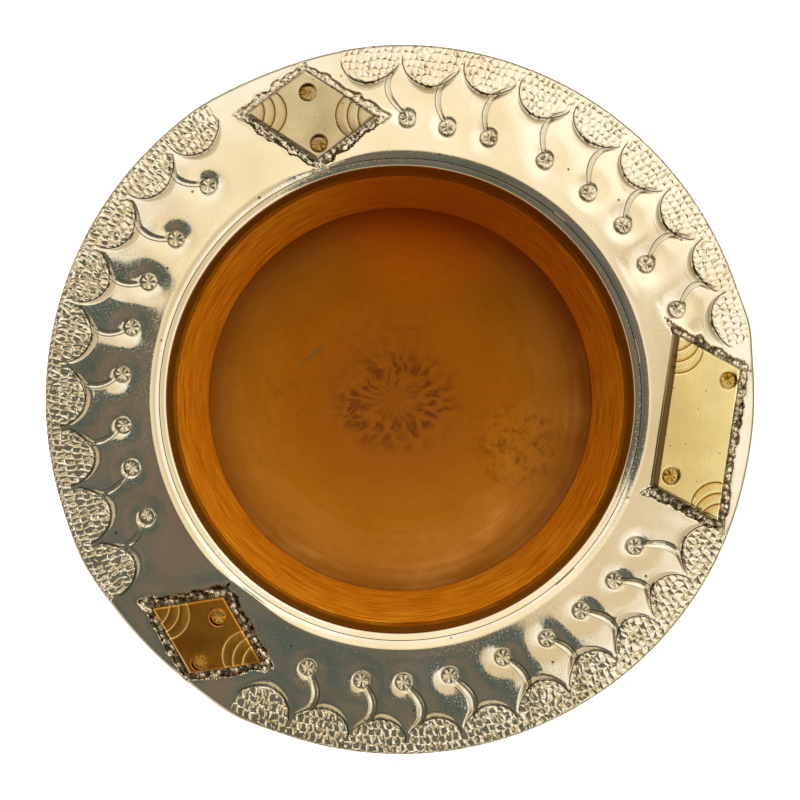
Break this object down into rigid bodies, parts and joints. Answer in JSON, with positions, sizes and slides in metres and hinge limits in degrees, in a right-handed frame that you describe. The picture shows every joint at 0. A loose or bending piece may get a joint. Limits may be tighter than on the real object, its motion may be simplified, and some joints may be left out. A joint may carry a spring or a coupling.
{
  "type": "mate cup",
  "caption": "Mate cup: gourd in a stitched leather cover on a leather foot, with a wide chased white-metal brim, a lined mouth and brass lozenge plates.",
  "frame": {"origin": "centre of the foot's flat underside, on the mouth's axis", "axes": "+Z up along the mouth's axis, +X to the right and +Y up in the picture, which looks straight down"},
  "size_m": [0.0997, 0.1, 0.1093],
  "materials": {
    "gourd_shell": "satin",
    "cover_leather": "satin",
    "sole_leather": "matte",
    "waxed_thread": "matte",
    "resin": "matte",
    "white_metal": "polished",
    "plate_brass": "satin"
  },
  "bodies": {
    "root": {"gourd_vessel": "gourd_shell", "leather_cover": "cover_leather", "seam_stitch_01": "waxed_thread", "seam_stitch_02": "waxed_thread", "seam_stitch_03": "waxed_thread", "seam_stitch_04": "waxed_thread", "seam_stitch_05": "waxed_thread", "seam_stitch_06": "waxed_thread", "seam_stitch_07": "waxed_thread", "seam_stitch_08": "waxed_thread", "seam_stitch_09": "waxed_thread", "seam_stitch_10": "waxed_thread", "seam_stitch_11": "waxed_thread", "seam_stitch_12": "waxed_thread", "seam_stitch_13": "waxed_thread", "leather_foot_ring": "cover_leather", "foot_sole": "sole_leather", "bedding_resin": "resin", "rim_collar": "white_metal", "mouth_sleeve": "white_metal", "rim_flange": "white_metal", "plate_top": "plate_brass", "plate_right": "plate_brass", "plate_left": "plate_brass"}
  },
  "joints": []
}
